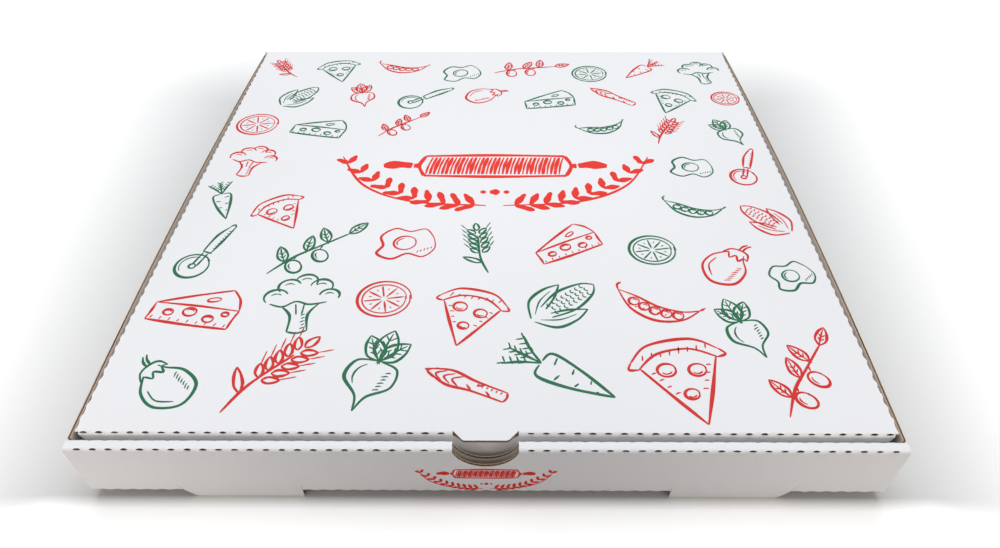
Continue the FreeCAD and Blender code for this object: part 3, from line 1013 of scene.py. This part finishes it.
def ornament(pen):
    """A hatched rolling pin over two sprigs, as wide as 2 and as high as 0.6."""
    for side in (-1, 1):
        pen.curve((-0.44, 0.1 + 0.105 * side), (0, 0.1 + 0.115 * side), (0.44, 0.1 + 0.105 * side),
                  width=2.2, ends=0.8)
        pen.curve((side * 0.44, 0.205), (side * 0.475, 0.1), (side * 0.44, -0.005), width=2.2,
                  ends=0.8)
        pen.curve((side * 0.47, 0.1), (side * 0.51, 0.1), width=4.0, ends=0.9)
        pen.curve((side * 0.52, 0.1), (side * 0.6, 0.112), (side * 0.7, 0.1), width=6.5, ends=0.5)
        pen.curve((side * 0.05, -0.3), (side * 0.5, -0.26), (side * 0.8, -0.1), (side * 0.97, 0.2),
                  width=1.5)
        for i in range(10):
            share = i / 9
            x = side * (0.12 + 0.8 * share)
            y = -0.295 + 0.42 * share ** 2.3
            lean = 18 + 52 * share
            for flip in (-1, 1):
                c, s = turned(lean + flip * 42)
                reach = 0.125 - 0.03 * share
                pen.curve((x, y), (x + side * c * reach * 0.5, y + s * reach * 0.5),
                          (x + side * c * reach, y + s * reach), width=3.6, ends=0.12)
    for i in range(34):
        x = -0.43 + 0.025 * i
        pen.curve((x, 0.01), (x + 0.012, 0.1), (x + 0.035, 0.19), width=1.15 + 0.5 * (i % 3),
                  ends=0.5)
    for x, r in ((0, 0.03), (-0.07, 0.018), (0.07, 0.018)):
        pen.curve((x - r, -0.17), (x, -0.17), (x + r, -0.17), width=r * 150, ends=0.3)


RED, GREEN, TITLE = range(3)
# Motif, ink, place across and from front to rear, size and turn
motif_list = [
    (wheat, RED, -141, 136, 15, 35), (slice_of_pizza, GREEN, -104, 133, 16, 15),
    (pea_pod, RED, -62, 138, 17, -8), (fried_egg, GREEN, -22, 130, 14, 20),
    (olive_twig, RED, 22, 136, 20, -12), (lemon, GREEN, 64, 129, 13, 0),
    (carrot, RED, 100, 135, 17, -48), (broccoli, GREEN, 138, 131, 16, 8),
    (corn, GREEN, -124, 99, 16, -40), (radish, RED, -84, 101, 15, 12),
    (cutter, GREEN, -44, 96, 17, -10), (aubergine, RED, -4, 102, 15, -62),
    (cheese, GREEN, 36, 95, 17, 6), (asparagus, RED, 76, 100, 17, 52),
    (slice_of_pizza, GREEN, 113, 94, 16, -22), (lemon, RED, 148, 97, 10, 0),
    (lemon, RED, -143, 66, 14, 0), (cheese, GREEN, -104, 62, 17, -14),
    (olive_twig, RED, -56, 65, 15, 18), (pea_pod, GREEN, 66, 63, 15, 14),
    (wheat, RED, 104, 60, 16, -30), (radish, GREEN, 141, 58, 15, 22),
    (broccoli, RED, -137, 28, 16, -6), (fried_egg, GREEN, 112, 22, 13, 0),
    (cutter, RED, 144, 20, 16, 25), (carrot, GREEN, -143, -9, 17, 20),
    (slice_of_pizza, RED, -109, -19, 16, 34), (pea_pod, GREEN, 106, -15, 16, -16),
    (corn, RED, 142, -24, 16, 44), (cutter, GREEN, -138, -52, 18, 24),
    (olive_twig, GREEN, -88, -49, 22, 16), (fried_egg, RED, -42, -43, 16, 10),
    (wheat, GREEN, -5, -46, 19, 8), (cheese, RED, 38, -43, 18, 24),
    (lemon, GREEN, 80, -48, 13, 0), (aubergine, RED, 116, -57, 18, -36),
    (fried_egg, GREEN, 143, -66, 12, 30), (cheese, RED, -132, -88, 21, -12),
    (broccoli, GREEN, -86, -84, 20, 6), (lemon, RED, -48, -82, 14, 0),
    (slice_of_pizza, RED, -9, -92, 19, -14), (corn, GREEN, 34, -84, 20, -52),
    (pea_pod, RED, 76, -86, 20, -24), (radish, GREEN, 113, -99, 18, 16),
    (aubergine, GREEN, -134, -129, 18, 52), (wheat, RED, -90, -124, 26, -42),
    (radish, GREEN, -47, -123, 22, -18), (asparagus, RED, -9, -130, 19, 66),
    (carrot, GREEN, 30, -124, 26, 58), (slice_of_pizza, RED, 82, -127, 24, 12),
    (olive_twig, RED, 131, -126, 21, 34),
]


def print_lid():
    rng = random.Random(5)
    inks = [Ink(lambda x, y, height: (x, y, lid_z + height)) for _ in range(3)]
    for motif, colour, x, y, size, turn in motif_list:
        least, growth = motif_weight
        motif(Pen(inks[colour], x, y, size, turn, rng, least + growth * size))
    ornament(Pen(inks[TITLE], *lid_ornament, 0, rng))
    inks[RED].piece("print_red", "lid", red_ink)
    inks[GREEN].piece("print_green", "lid", green_ink)
    inks[TITLE].piece("print_ornament", "lid", title_ink)


def print_front_wall():
    drawing = Ink(lambda x, z, height: (x, -half_depth - height, z))
    ornament(Pen(drawing, *front_ornament, 0, random.Random(8), front_weight))
    drawing.piece("print_front", "tray", title_ink)


print_lid()
print_front_wall()


# Floor, light and camera
floor_slope = base_z / (2 * half_depth)
floor_reach = 6000.0
floor_tone = (0.67, 0.67, 0.65325, 1)
floor_tone_unseen = (0.5, 0.5, 0.5, 1)      # for light that the box gets back from it
# The floor's camera-only glow paints it white away from the box and leaves a painted shadow beside the
# box, sized by the values below
floor_glow = 0.48
painted_shadow_start = half_width + 20.0
painted_shadow_side = (58.0, 106.0)       # width of the painted shadow beside the box, at its front and rear
painted_shadow_side_least = 10.0
painted_shadow_front = 6.0
painted_shadow_corner = 14.0
painted_shadow_rear = 100.0
painted_shadow_rear_start = 140.0
studio_glow = 0.8               # keeps the floor white out to its horizon
studio_reach = (0.3, 1.5)       # in metres, like the lamps' places
ambient_tint = (1.0, 0.9, 0.852, 1)
ambient_light = 0.35
overhead_place = (0.0, 0.45, 1.7)
overhead_size = (1.6, 1.2)
overhead_power = 25.2
overhead_tint = (0.9, 0.965, 1.04)
fill_place = (0.75, -0.75, 0.16)
fill_target = (0.17, -0.161, 0.015)
fill_size = 0.08
fill_tint = (1.0, 0.925, 0.87)
fills = ((-1, 20.0, 13), (1, 14.0, 15))     # side, power and spread in degrees
camera_place = (6.64, -311.64, 270.29)      # from a fit on the box's corners
camera_pitch, camera_yaw, camera_roll = (math.radians(turn) for turn in (43.722, 0.362, -0.126))
camera_lens = 25.821
camera_sensor = 36.0


def math_node(nodes, links, operation, *values, clamp=False):
    node = nodes.new("ShaderNodeMath")
    node.operation = operation
    node.use_clamp = clamp
    for socket, value in zip(node.inputs, values):
        if isinstance(value, (int, float)):
            socket.default_value = value
        else:
            links.new(value, socket)
    return node.outputs["Value"]


def painted_shadow_share(maths, x, y):
    """0 in the painted shadow at the box, rising to 1 where the floor is white."""
    near, far = (width * MM for width in painted_shadow_side)
    width = maths("MULTIPLY_ADD", y, (far - near) / (2 * half_depth * MM), (near + far) / 2)
    aside = maths("MAXIMUM", maths("SUBTRACT", maths("ABSOLUTE", x, 0), painted_shadow_start * MM), 0)
    aside = maths("DIVIDE", aside, maths("MAXIMUM", width, painted_shadow_side_least * MM))
    ahead = maths("MAXIMUM", maths("SUBTRACT", -half_depth * MM, y), 0)
    ahead = maths("DIVIDE", ahead, maths("MULTIPLY_ADD", aside, painted_shadow_corner * MM, painted_shadow_front * MM))
    behind = maths("MAXIMUM", maths("SUBTRACT", y, painted_shadow_rear_start * MM), 0)
    behind = maths("DIVIDE", behind, painted_shadow_rear * MM)
    aside, ahead, behind = (maths("POWER", part, 2) for part in (aside, ahead, behind))
    squares = maths("ADD", maths("ADD", aside, ahead), behind)
    return maths("POWER", squares, 0.5, clamp=True)


def floor_material():
    """Pale floor that turns to white for the camera away from the box, leaving a painted shadow beside
    it.
    """
    material = bpy.data.materials.new("floor_painted_shadow")
    material.use_nodes = True
    nodes = material.node_tree.nodes
    links = material.node_tree.links
    maths = partial(math_node, nodes, links)
    shader = nodes["Principled BSDF"]
    set_inputs(shader, Roughness=0.9, Emission_Color=(1, 1, 1, 1))
    seen = nodes.new("ShaderNodeLightPath").outputs["Is Camera Ray"]
    place = nodes.new("ShaderNodeTexCoord").outputs["Object"]
    split = nodes.new("ShaderNodeSeparateXYZ")
    links.new(place, split.inputs["Vector"])
    share = painted_shadow_share(maths, split.outputs["X"], split.outputs["Y"])
    length = nodes.new("ShaderNodeVectorMath")
    length.operation = "LENGTH"
    links.new(place, length.inputs[0])
    start, end = studio_reach
    far_off = maths("DIVIDE", maths("SUBTRACT", length.outputs["Value"], start), end - start,
                    clamp=True)
    glow = maths("ADD", maths("MULTIPLY", share, floor_glow), maths("MULTIPLY", far_off, studio_glow))
    links.new(maths("MULTIPLY", glow, seen), shader.inputs["Emission Strength"])
    tone = nodes.new("ShaderNodeMix")
    tone.data_type = "RGBA"
    set_inputs(tone, A=floor_tone_unseen, B=floor_tone)
    links.new(seen, tone.inputs["Factor"])
    links.new(tone.outputs["Result"], shader.inputs["Base Color"])
    return material


def make_floor():
    """Floor that meets the front wall's lips and the bottom's rear edge."""
    corners = ((-1, -1), (1, -1), (1, 1), (-1, 1))
    points = [(x * floor_reach, y * floor_reach, floor_slope * (y * floor_reach + half_depth))
              for x, y in corners]
    floor = mesh_piece("floor", points, [[0, 1, 2, 3]], [floor_material()])


def make_world():
    """Warm light from all sides, behind which the camera and reflections see white."""
    world = bpy.data.worlds.new("studio")
    bpy.context.scene.world = world
    world.use_nodes = True
    nodes = world.node_tree.nodes
    links = world.node_tree.links
    ambient = nodes["Background"]
    set_inputs(ambient, Color=ambient_tint, Strength=ambient_light)
    backdrop = nodes.new("ShaderNodeBackground")
    set_inputs(backdrop, Color=(1, 1, 1, 1), Strength=1.0)
    rays = nodes.new("ShaderNodeLightPath").outputs
    either = math_node(nodes, links, "MAXIMUM", rays["Is Camera Ray"], rays["Is Glossy Ray"])
    mix = nodes.new("ShaderNodeMixShader")
    for source, socket in ((either, mix.inputs["Fac"]), (ambient.outputs["Background"], mix.inputs[1]),
                           (backdrop.outputs["Background"], mix.inputs[2]),
                           (mix.outputs["Shader"], nodes["World Output"].inputs["Surface"])):
        links.new(source, socket)


def lamp(name, kind, place, target, power, colour):
    light = bpy.data.lights.new(name, kind)
    light.energy = power
    light.color = colour
    holder = bpy.data.objects.new(name, light)
    bpy.context.scene.collection.objects.link(holder)
    aim = Vector(target) - Vector(place)
    turn = aim.to_track_quat("-Z", "Y").to_matrix().to_4x4()
    holder.matrix_world = Matrix.Translation(place) @ turn
    return light


def make_lamps():
    """A wide lamp over the box and a low fill from each side onto its front wall."""
    overhead = lamp("overhead", "AREA", overhead_place, (0, 0, 0), overhead_power, overhead_tint)
    overhead.shape = "RECTANGLE"
    overhead.size, overhead.size_y = overhead_size
    for side, power, spread in fills:
        place, target = ((side * x, y, z) for x, y, z in (fill_place, fill_target))
        fill = lamp("fill" + str(side + 2), "SPOT", place, target, power, fill_tint)
        fill.spot_size = math.radians(spread)
        fill.spot_blend = 1.0
        fill.shadow_soft_size = fill_size


def make_camera():
    """Camera at the photograph's place."""
    eye = bpy.data.cameras.new("camera")
    eye.sensor_width = camera_sensor
    eye.lens = camera_lens
    eye.clip_start = 0.01
    holder = bpy.data.objects.new("camera", eye)
    bpy.context.scene.collection.objects.link(holder)
    holder.matrix_world = (Matrix.Translation(Vector(camera_place) * MM)
                           @ Matrix.Rotation(camera_yaw, 4, "Z")
                           @ Matrix.Rotation(math.pi / 2 - camera_pitch, 4, "X")
                           @ Matrix.Rotation(camera_roll, 4, "Z"))
    bpy.context.scene.camera = holder


bpy.context.scene.view_settings.view_transform = "Standard"
make_floor()
make_world()
make_lamps()
make_camera()
